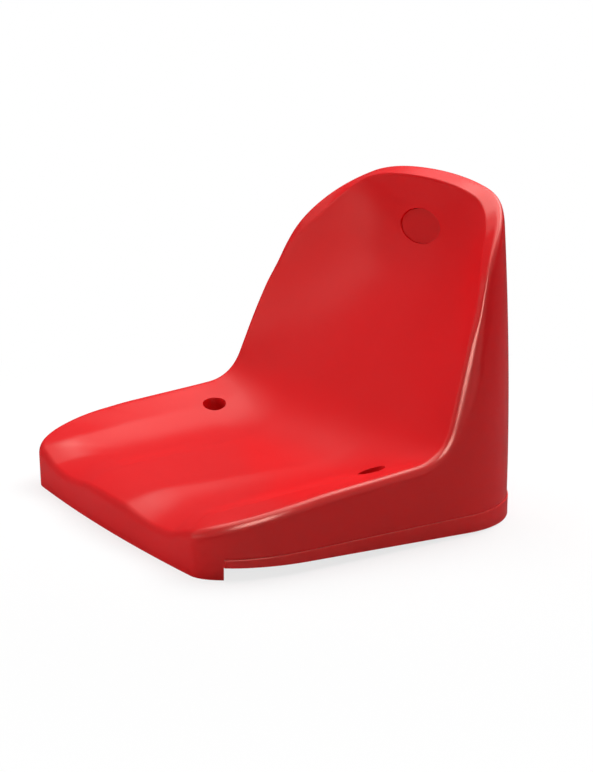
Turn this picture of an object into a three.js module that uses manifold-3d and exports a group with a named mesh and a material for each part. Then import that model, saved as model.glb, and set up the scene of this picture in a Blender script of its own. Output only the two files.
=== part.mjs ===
// A fixed stadium bucket seat: a moulded shell on a wedge shaped base frame, in millimetres with +Z up.
// The sitter faces -Y, the origin is on the ground under the middle of the seat.
import * as THREE from 'three';
import { mergeVertices } from 'three/addons/utils/BufferGeometryUtils.js';
import Module from 'manifold-3d';

const wasm = await Module();
wasm.setup();

// Plan outline of the shell at ground level
const seat_width = 430;
const seat_depth = 405;
const front_bow = 10.3;
const front_corner_width = 50.6;
const front_corner_length = 102.5;
const rear_corner_radius = 105.4;

// How the walls leave the plan outline as they rise to the top of the backrest
const back_height = 345.5;
const side_draw_in = 45.2;
const side_draw_power = 2.07;
const front_lean_out = 9.7;
const rear_lean_out = 6.2;

// Height of the outer rim, from the front lip round to the top of the backrest
const lip_height = 29.5;
const lip_wave = 3;
const lip_wave_start = 96;
const lip_wave_end = 230;
const lip_corner_place = 135;
const corner_rim_height = 64.8;
const corner_rim_setback = 35;
const bend_before_wing = 24.5;
const bend_rim_height = 79.5;
const bend_setback = 34.5;
const wing_run_back = 41.6;
const wing_straight_height = 252;
const arch_side_pull = 83;
const arch_top_pull = 84.5;

// Section of the rim: a sloped land between two roundings
const pan_land = 7;
const wing_land = 10;
const arch_land = 20.5;
const arch_rim_lead = 62;
const arch_sink_lead = 22;
const arch_sink_run = 67;
const arch_side_sink = 18;
const arch_top_sink = 10.5;
const pan_crease = 3.2;
const arch_crease = 1.6;
const pan_round = 5;
const wing_round = 9;
const arch_round = 16;
const land_round_share = 0.42;
const land_turn_share = 0.5;
const rim_probe_share = 0.05;

// Middle line of the sitting surface, seen from the side
const knee_height = 49;
const knee_back = 36;
const knee_setback = 22;
const seat_back_place = 58;
const seat_back_height = 52;
const seat_bend_setback = 66;
const shoulder_height = 262;
const shoulder_setback = 48;
const shoulder_depth = 8.5;

// Shape of the surface across its width
const crease_height_share = 0.55;
const bolster_start_power = 2;
const wing_dish_power = 2.6;
const rim_fit_power = 9;
const line_spare = 15;
const centre_place = 262;
const trough_depth = 6.5;
const trough_edge_power = 1.3;
const trough_inner_front = 38;
const trough_inner_rear = 70;
const trough_outer = 160;
const trough_fade_start = 60;
const trough_fade_end = 300;
const trough_crease_round = 5;

// Walls, ribs and posts
const wall = 3.5;
const rib_thickness = 2.6;
const rib_clearance = 10;
const rib_spacing = 110;
const rib_depth = 14;
const arch_core_margin = 16;
const post_radius = 7;
const post_depth = 14;
const post_wall_gap = 2;
const bottom_edge_break = 0.9;

// Fixing holes
const fixing_side_distance = 57;
const fixing_place = 18;
const fixing_hole_diameter = 27;
const sleeve_wall = 3;
const sleeve_foot_height = 20;
const sleeve_floor = 5;
const foot_diameter = 42;

// Collared bush at the foot of each fixing hole
const bush_bore = 10.5;
const bush_outer = 14;
const bush_collar_diameter = 22;
const bush_collar_thickness = 2;
const bush_recess = 0.6;

// Base frame
const parting_height = 20.7;
const notch_place = 27;
const base_front_lift = 12.6;
const base_flat_length = 24;
const base_ledge_width = 1.2;
const base_wall = 4;
const base_edge_break = 0.8;
const upstand_height = 8;
const upstand_wall = 2.5;
const bar_thickness = 4;
const tab_radius = 10;
const tab_thickness = 4;
const screw_corner_clearance = 6;
const screw_rear_offset = 82;

// Screws
const screw_diameter = 4.8;
const screw_length = 16;
const screw_head_diameter = 9.5;
const screw_head_height = 3;
const screw_slot_width = 1.2;
const screw_slot_depth = 1.2;

// Number plate
const plate_width = 72;
const plate_height = 38;
const plate_thickness = 1.8;
const plate_below_top = 65;
const plate_recess_depth = 3;
const plate_edge_break = 0.5;
const plate_pad_margin = 5;
const peg_diameter = 5;
const peg_length = 3;
const peg_spacing = 48;

// Clearances and cuts
const gap = 0.3;
const locating_gap = 0.5;
const overrun = 60;

// Steps of the meshes
const front_steps = 4;
const corner_steps = 5;
const side_steps = 6;
const run_steps = 3;
const bend_steps = 6;
const wing_steps = 4;
const arch_steps = 16;
const surface_rings = 12;
const hollow_rings = 8;
const hollow_step = 2;
const ring_crowding_power = 1.45;
const round_steps = 3;
const wall_rings = 4;
const round_sides = 24;
const screw_sides = 12;
const line_steps = 240;
const section_passes = 4;
const crease_samples = [-0.75, -0.25, 0.25, 0.75];

const TURN = Math.PI * 2;
const QUARTER = Math.PI / 2;

const mix = (a, b, share) => a + (b - a) * share;
const clamp01 = (value) => Math.min(1, Math.max(0, value));
const smooth = (value) => value * value * (3 - 2 * value);
const rise = (value, from, to) => smooth(clamp01((value - from) / (to - from)));

// A quadratic curve through three control points, sampled without its first point.
function bend(from, corner, to, steps) {
  const curve = new THREE.QuadraticBezierCurve3(from, corner, to);
  return curve.getPoints(steps).slice(1);
}

// The point at a given distance from one point towards another.
function towards(from, to, distance) {
  return to.clone().sub(from).setLength(distance).add(from);
}

// Plan outline, measured from the middle of the front edge
const half_width = seat_width / 2;
const half_depth = seat_depth / 2;
const fixing_x = half_width - fixing_side_distance;
const front_straight = half_width - front_corner_width;
const rear_straight = half_width - rear_corner_radius;
const bow_at_corner = front_bow * (front_straight / half_width) ** 2;
const corner_start = -half_depth + bow_at_corner;
const side_start = corner_start + front_corner_length;
const side_end = half_depth - rear_corner_radius;
const length_to_corner = front_straight;
const corner_length = (front_corner_width + front_corner_length) / 2 * QUARTER;
const length_to_side = length_to_corner + corner_length;
const length_to_rear_corner = length_to_side + side_end - side_start;
const length_to_rear = length_to_rear_corner + rear_corner_radius * QUARTER;
const length_to_middle = length_to_rear + rear_straight;

// Place and outward direction on the plan outline at a length from the middle of the front edge.
function plan(length) {
  if (length <= length_to_corner) {
    const slope = 2 * front_bow * length / half_width ** 2;
    const normal = new THREE.Vector2(slope, -1).normalize();
    return { x: length, y: -half_depth + front_bow * (length / half_width) ** 2, normal };
  }
  if (length <= length_to_side) {
    const angle = QUARTER * (length - length_to_corner) / corner_length;
    const x = front_straight + front_corner_width * Math.sin(angle);
    const y = side_start - front_corner_length * Math.cos(angle);
    const normal = new THREE.Vector2(
      front_corner_length * Math.sin(angle),
      -front_corner_width * Math.cos(angle),
    );
    return { x, y, normal: normal.normalize() };
  }
  if (length <= length_to_rear_corner) {
    return { x: half_width, y: side_start + length - length_to_side, normal: new THREE.Vector2(1, 0) };
  }
  if (length <= length_to_rear) {
    const angle = (length - length_to_rear_corner) / rear_corner_radius;
    const x = rear_straight + rear_corner_radius * Math.cos(angle);
    const y = side_end + rear_corner_radius * Math.sin(angle);
    return { x, y, normal: new THREE.Vector2(Math.cos(angle), Math.sin(angle)) };
  }
  return { x: length_to_middle - length, y: half_depth, normal: new THREE.Vector2(0, 1) };
}

// A point of the outer wall at a length round the plan and a height, moved in by an inset.
function wall_point(length, height, inset = 0) {
  const { x, y, normal } = plan(length);
  const share = height / back_height;
  const draw_in = side_draw_in * Math.max(0, share) ** side_draw_power * x * Math.abs(x) / half_width ** 2;
  const lean = normal.y < 0 ? front_lean_out : rear_lean_out;
  return new THREE.Vector3(
    x - draw_in - normal.x * inset,
    y + normal.y * (lean * share - inset),
    height,
  );
}

// How far a point lies across a thigh trough, from its inner edge at nought to its outer edge at one.
function trough_place(x, inner) {
  return clamp01((Math.abs(x) - inner) / (trough_outer - inner));
}

function trough_shape(place) {
  return (4 * place * (1 - place)) ** trough_edge_power;
}

// The rim as a line of lengths round the plan and heights, from the front middle to the rear middle
const arch_rim_start = wing_straight_height - arch_rim_lead;
const arch_sink_start = wing_straight_height - arch_sink_lead;
const arch_sink_full = arch_sink_start + arch_sink_run;
const rim_front = new THREE.Vector3(lip_corner_place, lip_height, 0);
const rim_corner = new THREE.Vector3(length_to_side, corner_rim_height, 0);
const rim_bend = new THREE.Vector3(length_to_rear_corner - bend_before_wing, bend_rim_height, 0);
const rim_wing = new THREE.Vector3(length_to_rear_corner + wing_run_back, wing_straight_height, 0);
const rim_top = new THREE.Vector3(length_to_middle, back_height, 0);

function rim_line() {
  const points = [];
  for (let step = 0; step <= front_steps; step += 1) {
    points.push(new THREE.Vector3(lip_corner_place * step / front_steps, lip_height, 0));
  }
  const corner_in = towards(rim_corner, rim_front, corner_rim_setback);
  const corner_out = towards(rim_corner, rim_bend, corner_rim_setback);
  const bend_in = towards(rim_bend, rim_corner, bend_setback);
  const bend_out = towards(rim_bend, rim_wing, bend_setback);
  const line = (from, to, steps) => new THREE.LineCurve3(from, to).getPoints(steps).slice(1);
  points.push(...line(rim_front, corner_in, corner_steps));
  points.push(...bend(corner_in, rim_corner, corner_out, side_steps));
  points.push(...line(corner_out, bend_in, run_steps));
  points.push(...bend(bend_in, rim_bend, bend_out, bend_steps));
  points.push(...line(bend_out, rim_wing, wing_steps));
  const side_control = towards(rim_wing, rim_bend, -arch_side_pull);
  const top_control = new THREE.Vector3(length_to_middle - arch_top_pull, back_height, 0);
  const arch = new THREE.CubicBezierCurve3(rim_wing, side_control, top_control, rim_top);
  points.push(...arch.getPoints(arch_steps).slice(1));
  for (const point of points) {
    const fade = 1 - rise(point.x, lip_wave_start, lip_wave_end);
    point.y += lip_wave * fade * (1 - 2 * trough_shape(trough_place(point.x, trough_inner_front)));
  }
  return points;
}

// Middle line of the sitting surface as evenly spaced points in the side view
const front_edge = plan(0).y - front_lean_out * lip_height / back_height;
const rear_edge = half_depth + rear_lean_out;
const lip_rise = pan_land * Math.SQRT1_2;
const line_lip = new THREE.Vector3(0, front_edge + lip_rise, lip_height + lip_wave + lip_rise);
const line_knee = new THREE.Vector3(0, front_edge + knee_back, knee_height);
const line_seat_back = new THREE.Vector3(0, seat_back_place, seat_back_height);
const line_shoulder = new THREE.Vector3(0, rear_edge - arch_land + shoulder_depth, shoulder_height);
const line_top = new THREE.Vector3(0, rear_edge - arch_land, back_height);
const knee_end = towards(line_knee, line_seat_back, knee_setback);

function middle_line() {
  const knee_in = towards(line_knee, line_lip, knee_setback);
  const seat_in = towards(line_seat_back, line_knee, seat_bend_setback);
  const seat_out = towards(line_seat_back, line_shoulder, seat_bend_setback);
  const shoulder_in = towards(line_shoulder, line_seat_back, shoulder_setback);
  const shoulder_out = towards(line_shoulder, line_top, shoulder_setback);
  const path = new THREE.CurvePath();
  path.add(new THREE.LineCurve3(towards(line_lip, line_knee, -line_spare), knee_in));
  path.add(new THREE.QuadraticBezierCurve3(knee_in, line_knee, knee_end));
  path.add(new THREE.LineCurve3(knee_end, seat_in));
  path.add(new THREE.QuadraticBezierCurve3(seat_in, line_seat_back, seat_out));
  path.add(new THREE.LineCurve3(seat_out, shoulder_in));
  path.add(new THREE.QuadraticBezierCurve3(shoulder_in, line_shoulder, shoulder_out));
  path.add(new THREE.LineCurve3(shoulder_out, towards(line_top, line_shoulder, -line_spare)));
  const points = [];
  for (let step = 0; step <= line_steps; step += 1) points.push(path.getPointAt(step / line_steps));
  return { points, length: path.getLength() };
}

const middle = middle_line();
const line_step = middle.length / line_steps;
const pan_way = line_seat_back.clone().sub(line_knee).normalize();

// Direction of the middle line at one of its points, held level with the pan over the front lip.
function middle_way(index) {
  if (middle.points[index].y < knee_end.y) return pan_way.clone();
  const before = middle.points[Math.max(0, index - 1)];
  const after = middle.points[Math.min(line_steps, index + 1)];
  return after.clone().sub(before).normalize();
}

const middle_ways = middle.points.map((_, index) => middle_way(index));

// Point and upward direction of the middle line at a distance along it.
function middle_at(distance) {
  const place = Math.min(line_steps, Math.max(0, distance / line_step));
  const index = Math.min(line_steps - 1, Math.floor(place));
  const share = place - index;
  const point = middle.points[index].clone().lerp(middle.points[index + 1], share);
  const way = middle_ways[index].clone().lerp(middle_ways[index + 1], share).normalize();
  return { point, up: new THREE.Vector3(0, -way.z, way.y) };
}

// Distance along the middle line that a point lies over, and the height above it there.
function nearest_on_middle(point) {
  const past = (index) => point.clone().sub(middle.points[index]).dot(middle_ways[index]);
  let index = 0;
  while (index < line_steps - 1 && past(index + 1) >= 0) index += 1;
  const before = past(index);
  const after = past(index + 1);
  const distance = (index + before / (before - after)) * line_step;
  const at = middle_at(distance);
  return { distance, height: at.up.y * (point.y - at.point.y) + at.up.z * (point.z - at.point.z) };
}

// Shares of the side lift and of the trough depth across the pan.
function pan_section(distance, x, reach) {
  const inner = mix(trough_inner_front, trough_inner_rear, clamp01(distance / trough_fade_end));
  const place = trough_place(x, inner);
  const bolster = clamp01((Math.abs(x) - trough_outer) / Math.max(gap, reach - trough_outer));
  const fade = 1 - rise(distance, trough_fade_start, trough_fade_end);
  const lift = mix(crease_height_share * place ** bolster_start_power, 1, bolster);
  return { lift, dip: trough_shape(place) * fade };
}

// The same section with its creases rounded, as the mean of samples on both sides.
function rounded_section(distance, x, reach) {
  const mean = { lift: 0, dip: 0 };
  for (const offset of crease_samples) {
    const { lift, dip } = pan_section(distance, x + trough_crease_round * offset, reach);
    mean.lift += lift / crease_samples.length;
    mean.dip += dip / crease_samples.length;
  }
  return mean;
}

// An edge of the sitting surface under a point of the rim.
function surface_edge(point) {
  return { x: point.x, ...nearest_on_middle(point) };
}

// Height of the sitting surface above the middle line, dished from the middle out to the side edges.
function dish(distance, x, edges) {
  let index = 1;
  while (index < edges.length - 1 && edges[index].distance < distance) index += 1;
  const before = edges[index - 1];
  const after = edges[index];
  const share = clamp01((distance - before.distance) / (after.distance - before.distance));
  const reach = mix(before.x, after.x, share);
  const height = mix(before.height, after.height, share);
  const across = reach > 0 ? Math.min(1, Math.abs(x) / reach) : 1;
  const pan = rounded_section(distance, x, reach);
  const wing_share = rise(distance, centre_place - seat_bend_setback, centre_place + seat_bend_setback);
  return height * mix(pan.lift, across ** wing_dish_power, wing_share) - trough_depth * pan.dip;
}

// Sitting surface under one rim sample, at a share of the way from the middle of the seat to the rim.
function surface_point(edge, share, edges) {
  const distance = mix(centre_place, edge.distance, share);
  const x = edge.x * share;
  const left_over = edge.height - dish(edge.distance, edge.x, edges);
  const height = dish(distance, x, edges) + left_over * share ** rim_fit_power;
  const at = middle_at(distance);
  return new THREE.Vector3(x, at.point.y + at.up.y * height, at.point.z + at.up.z * height);
}

// The rim at one sample of its line, before the sitting surface is known.
function rim_frame(line, index) {
  const at = line[index];
  const before = line[Math.max(0, index - 1)];
  const after = line[Math.min(line.length - 1, index + 1)];
  const corner = wall_point(at.x, at.y);
  const first = wall_point(before.x, before.y);
  const last = wall_point(after.x, after.y);
  if (index === 0) first.x = -last.x;
  if (index === line.length - 1) last.x = -first.x;
  const along = last.clone().sub(first).normalize();
  const flat_way = new THREE.Vector2(after.x - before.x, after.y - before.y);
  if (index === 0 || index === line.length - 1) flat_way.y = 0;
  flat_way.normalize();
  const wing_share = rise(at.y, bend_rim_height, (bend_rim_height + wing_straight_height) / 2);
  const round_share = rise(at.y, (bend_rim_height + wing_straight_height) / 2, shoulder_height);
  const round = mix(mix(pan_round, wing_round, wing_share), arch_round, round_share);
  const foot_length = at.x + flat_way.y * round;
  const foot_height = at.y - flat_way.x * round;
  const foot = wall_point(foot_length, foot_height);
  const down = foot.clone().sub(corner);
  down.addScaledVector(along, -down.dot(along)).normalize();
  const land = mix(pan_land, wing_land, wing_share);
  const crease = mix(pan_crease, arch_crease, rise(at.y, wing_straight_height, back_height));
  const side_share = rise(at.y, arch_sink_start, arch_sink_full);
  const sink = mix(arch_side_sink * side_share, arch_top_sink, rise(at.y, arch_sink_full, back_height));
  const inset = mix(wing_land, arch_land, side_share);
  const arch_inner = wall_point(at.x + flat_way.y * sink, at.y - flat_way.x * sink, inset);
  const arch_rim_share = rise(at.y, arch_rim_start, arch_sink_start);
  const { normal } = plan(at.x);
  const side = new THREE.Vector3(normal.x, normal.y, 0);
  const edge = surface_edge(corner.clone().addScaledVector(side, -land));
  const outside = { at, along, corner, foot, foot_length, foot_height, down, side };
  return { ...outside, land, crease, arch_inner, arch_rim_share, edge };
}

// The same sample with its surface edge moved to where land and sitting surface meet.
function with_surface(section, sides) {
  const { along, corner, down, land, crease, arch_inner, arch_rim_share, edge } = section;
  const out = surface_point(edge, 1, sides).sub(surface_point(edge, 1 - rim_probe_share, sides));
  out.addScaledVector(along, -out.dot(along)).normalize();
  const up = new THREE.Vector3().crossVectors(out, along).normalize();
  if (up.dot(middle_at(edge.distance).up) < 0) up.negate();
  let turn = Math.atan2(-down.dot(up), down.dot(out));
  if (turn < 0) turn += TURN;
  const land_turn = turn * land_turn_share;
  const land_way = out.clone().multiplyScalar(Math.cos(land_turn)).addScaledVector(up, -Math.sin(land_turn));
  const inner = corner.clone().addScaledVector(land_way, -land).lerp(arch_inner, arch_rim_share);
  inner.addScaledVector(out, -crease);
  return { ...section, out, edge: surface_edge(inner) };
}

// Edges of the surface down one side, from the side's start to the top of the arch, run out to the front
function side_edges(rim_sections) {
  const beside = rim_sections.filter((section) => section.at.x >= length_to_side);
  const edges = beside.map((section) => section.edge);
  return [{ x: edges[0].x, distance: 0, height: 0 }, ...edges];
}

const rim = rim_line();
let sections = rim.map((_, index) => rim_frame(rim, index));
let sides = side_edges(sections);
for (let pass = 0; pass < section_passes; pass += 1) {
  const last_sides = sides;
  sections = sections.map((section) => with_surface(section, last_sides));
  sides = side_edges(sections);
}
const hollow_sections = sections.filter((_, index) => index % hollow_step === 0);

// Points across the rim, from the edge of the sitting surface over the land to the outer wall.
function rim_round_points(section) {
  const start = surface_point(section.edge, 1, sides);
  const ridge_point = start.clone().addScaledVector(section.out, section.crease);
  const land_length = section.corner.distanceTo(ridge_point);
  const land_start_length = Math.min(section.crease, land_length * land_round_share);
  const land_start = towards(ridge_point, section.corner, land_start_length);
  const land_end = towards(section.corner, ridge_point, land_length * land_round_share);
  const points = bend(start, ridge_point, land_start, round_steps);
  points.push(land_end);
  points.push(...bend(land_end, section.corner, section.foot, round_steps));
  return points;
}

// The rows of one half, from the seat middle outwards, mirrored to a full loop for each row.
function full_loop(half) {
  const left = half.slice(1, -1).reverse().map((p) => new THREE.Vector3(-p.x, p.y, p.z));
  return [...half, ...left];
}

// A closed body from a start point, rows of equal count and an end point.
function closed_rows(start, rows, end) {
  const count = rows[0].length;
  const points = [start, ...rows.flat(), end];
  const faces = [];
  const id = (row, column) => 1 + row * count + column % count;
  const last = points.length - 1;
  for (let column = 0; column < count; column += 1) {
    faces.push(0, id(0, column), id(0, column + 1));
    for (let row = 0; row + 1 < rows.length; row += 1) {
      faces.push(id(row, column), id(row + 1, column), id(row + 1, column + 1));
      faces.push(id(row, column), id(row + 1, column + 1), id(row, column + 1));
    }
    faces.push(last, id(rows.length - 1, column + 1), id(rows.length - 1, column));
  }
  const geometry = new THREE.BufferGeometry();
  geometry.setFromPoints(points);
  geometry.setIndex(faces);
  return geometry;
}

// Geometry to solid and back
function solid(geometry) {
  const plain = geometry.clone();
  plain.deleteAttribute('normal');
  plain.deleteAttribute('uv');
  const merged = mergeVertices(plain);
  const vertProperties = merged.attributes.position.array;
  const triVerts = new Uint32Array(merged.index.array);
  const made = new wasm.Manifold(new wasm.Mesh({ numProp: 3, vertProperties, triVerts }));
  if (made.volume() > 0) return made;
  const flipped = new Uint32Array(triVerts).reverse();
  return new wasm.Manifold(new wasm.Mesh({ numProp: 3, vertProperties, triVerts: flipped }));
}

function geometry_of(body) {
  const mesh = body.getMesh();
  const geometry = new THREE.BufferGeometry();
  geometry.setAttribute('position', new THREE.BufferAttribute(mesh.vertProperties, 3));
  geometry.setIndex(new THREE.BufferAttribute(mesh.triVerts, 1));
  const shaded = geometry.toNonIndexed();
  shaded.computeVertexNormals();
  return shaded;
}

// Box between two corners, and round bar along Z between two heights.
function box(from, to) {
  const size = to.clone().sub(from);
  const geometry = new THREE.BoxGeometry(size.x, size.y, size.z);
  const centre = from.clone().add(to).multiplyScalar(1 / 2);
  return solid(geometry.translate(centre.x, centre.y, centre.z));
}

function bar(x, y, radius, bottom, top, steps = round_sides) {
  const geometry = new THREE.CylinderGeometry(radius, radius, top - bottom, steps);
  geometry.rotateX(QUARTER);
  return solid(geometry.translate(x, y, (top + bottom) / 2));
}

// The wall outline as an upright body, with an inset and a height for each row.
function outline_body(rows) {
  const loops = rows.map(({ inset, height }) => {
    const half = sections.map((section) => wall_point(section.foot_length, height, inset));
    return full_loop(half);
  });
  const start = new THREE.Vector3(0, 0, rows[0].height);
  const end = new THREE.Vector3(0, 0, rows[rows.length - 1].height);
  return solid(closed_rows(start, loops, end));
}

// Rows of the sitting surface, moved down by a depth along the surface's own direction.
function surface_rows(around_rim, rings, depth) {
  const rows = [];
  for (let ring = 1; ring <= rings; ring += 1) {
    const share = 1 - (1 - ring / rings) ** ring_crowding_power;
    const half = around_rim.map((section, index) => {
      const point = surface_point(section.edge, share, sides);
      if (depth === 0) return point;
      const next = around_rim[Math.min(around_rim.length - 1, index + 1)];
      const last = around_rim[Math.max(0, index - 1)];
      const around = surface_point(next.edge, share, sides).sub(surface_point(last.edge, share, sides));
      if (index === 0 || index === around_rim.length - 1) around.set(1, 0, 0);
      const inward = point.clone().sub(surface_point(section.edge, share - 1 / line_steps, sides));
      const up = new THREE.Vector3().crossVectors(inward, around).normalize();
      if (up.dot(middle_at(mix(centre_place, section.edge.distance, share)).up) < 0) up.negate();
      return point.addScaledVector(up, -depth);
    });
    rows.push(full_loop(half));
  }
  return rows;
}

// The whole shell without its hollow
function outer_body() {
  const rows = surface_rows(sections, surface_rings, 0);
  const across = sections.map(rim_round_points);
  for (let index = 0; index < across[0].length; index += 1) {
    rows.push(full_loop(across.map((points) => points[index])));
  }
  for (let ring = 1; ring <= wall_rings; ring += 1) {
    const share = ring / wall_rings;
    const half = sections.map((section) =>
      wall_point(section.foot_length, mix(section.foot_height, bottom_edge_break, share)));
    rows.push(full_loop(half));
  }
  rows.push(full_loop(sections.map((section) => wall_point(section.foot_length, 0, bottom_edge_break))));
  const start = middle_at(centre_place).point;
  return solid(closed_rows(start, rows, new THREE.Vector3(0, 0, 0)));
}

// Everything above the underside of the sitting skin, closed far above the seat
function space_above() {
  const rows = surface_rows(hollow_sections, hollow_rings, wall);
  for (const outward of [-wall / 2, overrun]) {
    rows.push(full_loop(hollow_sections.map(({ foot_length, foot_height, side }) =>
      wall_point(foot_length, foot_height).addScaledVector(side, outward))));
  }
  const start = middle_at(centre_place);
  const first = start.point.clone().addScaledVector(start.up, -wall);
  const apex = new THREE.Vector3(0, -seat_depth, back_height + seat_depth);
  return solid(closed_rows(first, rows, apex));
}

// The arch of the rim seen from the front, drawn in by a margin and run through the whole depth
function arch_passage() {
  const shape = new THREE.Shape();
  const half = sections.map(({ corner, at }) => {
    const inward = at.y > bend_rim_height ? arch_core_margin : 0;
    const share = rise(at.y, wing_straight_height, back_height);
    return new THREE.Vector2(corner.x - inward * (1 - share), corner.z - inward * share);
  }).filter((point, index) => sections[index].at.y > bend_rim_height);
  const right = [new THREE.Vector2(half_width + overrun, -overrun)];
  right.push(new THREE.Vector2(half_width + overrun, bend_rim_height));
  right.push(...half);
  const left = right.filter((point) => point.x > 0).reverse().map((p) => new THREE.Vector2(-p.x, p.y));
  shape.setFromPoints([...right, ...left]);
  const depth = seat_depth + 2 * overrun;
  const geometry = new THREE.ExtrudeGeometry(shape, { depth, bevelEnabled: false });
  geometry.rotateX(QUARTER);
  return solid(geometry.translate(0, depth / 2, 0));
}

const notch_y = -half_depth + notch_place;
const post_seat = parting_height - tab_thickness;
const fixing_xs = [-fixing_x, fixing_x];

// Screw places: two on each side wall, two in the rear corners and two behind the apron
function screw_places() {
  const reach = wall + post_radius + post_wall_gap;
  const places = [];
  for (const side of [-1, 1]) {
    places.push([side * (half_width - reach), side_start + screw_corner_clearance]);
    places.push([side * (half_width - reach), side_end - screw_corner_clearance]);
    places.push([side * screw_rear_offset, half_depth - reach]);
    places.push([side * front_straight / 2, notch_y + reach]);
  }
  return places;
}

function fixing_sleeves() {
  const radius = fixing_hole_diameter / 2 + sleeve_wall;
  return fixing_xs.map((x) => bar(x, fixing_place, radius, sleeve_foot_height, back_height));
}

function shell_posts() {
  return screw_places().map(([x, y]) => bar(x, y, post_radius, post_seat, back_height, screw_sides));
}

// Thin ribs along and across, under the pan and up behind the backrest
function shell_ribs() {
  const ribs = [];
  const bottom = parting_height + rib_clearance;
  const reach_x = half_width + overrun;
  const reach_y = half_depth + overrun;
  const count_x = Math.floor(half_width / rib_spacing);
  for (let index = -count_x; index <= count_x; index += 1) {
    const x = index * rib_spacing;
    const from = new THREE.Vector3(x - rib_thickness / 2, -reach_y, bottom);
    ribs.push(box(from, new THREE.Vector3(x + rib_thickness / 2, reach_y, back_height)));
  }
  const count_y = Math.floor(half_depth / rib_spacing);
  for (let index = -count_y; index <= 1; index += 1) {
    const y = index * rib_spacing;
    const from = new THREE.Vector3(-reach_x, y - rib_thickness / 2, bottom);
    ribs.push(box(from, new THREE.Vector3(reach_x, y + rib_thickness / 2, back_height)));
  }
  return ribs;
}

// Place and tilt of the number plate on the middle line of the backrest
function plate_seat() {
  const plate_middle_height = back_height - plate_below_top;
  let best = middle.points[0];
  for (const point of middle.points) {
    if (Math.abs(point.z - plate_middle_height) < Math.abs(best.z - plate_middle_height)) best = point;
  }
  const { distance } = nearest_on_middle(best);
  const { point, up } = middle_at(distance);
  return { point, up };
}

const plate_place = plate_seat();

// An oval disc standing on the backrest between two heights over its surface
function plate_oval(grow, from, to) {
  const shape = new THREE.Shape();
  shape.absellipse(0, 0, plate_width / 2 + grow, plate_height / 2 + grow, 0, TURN);
  const settings = { depth: to - from, bevelEnabled: false, curveSegments: round_sides / 2 };
  return stand_on_backrest(new THREE.ExtrudeGeometry(shape, settings), from);
}

function stand_on_backrest(geometry, from) {
  const { point, up } = plate_place;
  const side = new THREE.Vector3(1, 0, 0);
  const over = new THREE.Vector3().crossVectors(up, side);
  const turn = new THREE.Matrix4().makeBasis(side, over, up);
  const base = point.clone().addScaledVector(up, from);
  return solid(geometry.applyMatrix4(turn).translate(base.x, base.y, base.z));
}

function plate_pegs(radius, from, to) {
  return [-peg_spacing / 2, peg_spacing / 2].map((x) => {
    const geometry = new THREE.CylinderGeometry(radius, radius, to - from, round_sides / 2);
    geometry.rotateX(QUARTER);
    geometry.translate(x, 0, (to - from) / 2);
    return stand_on_backrest(geometry, from);
  });
}

// Hollow of the shell, less the ribs, sleeves, posts and the pad behind the plate
function shell_hollow() {
  const top = back_height + overrun;
  const rows = [
    { inset: wall, height: -overrun },
    { inset: wall, height: parting_height },
    { inset: wall, height: back_height / 2 },
    { inset: wall, height: back_height },
    { inset: wall, height: top },
  ];
  let hollow = outline_body(rows).subtract(space_above()).intersect(arch_passage());
  const below_ribs = hollow.translate(0, rib_depth, -rib_depth);
  for (const rib of shell_ribs()) hollow = hollow.subtract(rib.subtract(below_ribs));
  for (const piece of [...fixing_sleeves(), ...shell_posts()]) hollow = hollow.subtract(piece);
  return hollow.subtract(plate_oval(plate_pad_margin, -overrun, overrun));
}

function seat_shell() {
  let body = outer_body().subtract(shell_hollow());
  const under = new THREE.Vector3(-half_width - overrun, notch_y, -overrun);
  body = body.subtract(box(under, new THREE.Vector3(half_width + overrun, half_depth + overrun, parting_height)));
  const feet = box(
    new THREE.Vector3(-half_width, notch_y, 0),
    new THREE.Vector3(half_width, half_depth, parting_height + gap),
  );
  for (const piece of [...fixing_sleeves(), ...shell_posts()]) body = body.add(piece.intersect(feet));
  for (const x of fixing_xs) {
    const floor_top = sleeve_foot_height + sleeve_floor;
    body = body.subtract(bar(x, fixing_place, fixing_hole_diameter / 2, floor_top, back_height));
    body = body.subtract(bar(x, fixing_place, bush_outer / 2 + gap, -overrun, back_height));
  }
  for (const [x, y] of screw_places()) {
    body = body.subtract(bar(x, y, screw_diameter / 2 + gap, -overrun, post_seat + post_depth, screw_sides));
  }
  const peg_radius = peg_diameter / 2 + gap;
  body = body.subtract(plate_oval(gap, -plate_recess_depth, overrun));
  for (const peg of plate_pegs(peg_radius, -plate_recess_depth - peg_length - gap, 0)) {
    body = body.subtract(peg);
  }
  return body;
}

// Slope under the base frame, from the lifted front to the flat rear
function base_underside() {
  const flat_start = half_depth - base_flat_length;
  const shape = new THREE.Shape();
  shape.moveTo(-half_depth - overrun, -overrun);
  shape.lineTo(flat_start, -overrun);
  shape.lineTo(flat_start, 0);
  shape.lineTo(notch_y, base_front_lift);
  shape.lineTo(-half_depth - overrun, base_front_lift);
  const depth = seat_width + 2 * overrun;
  const geometry = new THREE.ExtrudeGeometry(shape, { depth, bevelEnabled: false });
  geometry.rotateX(QUARTER);
  geometry.rotateZ(QUARTER);
  return solid(geometry.translate(-depth / 2, 0, 0));
}

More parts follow.
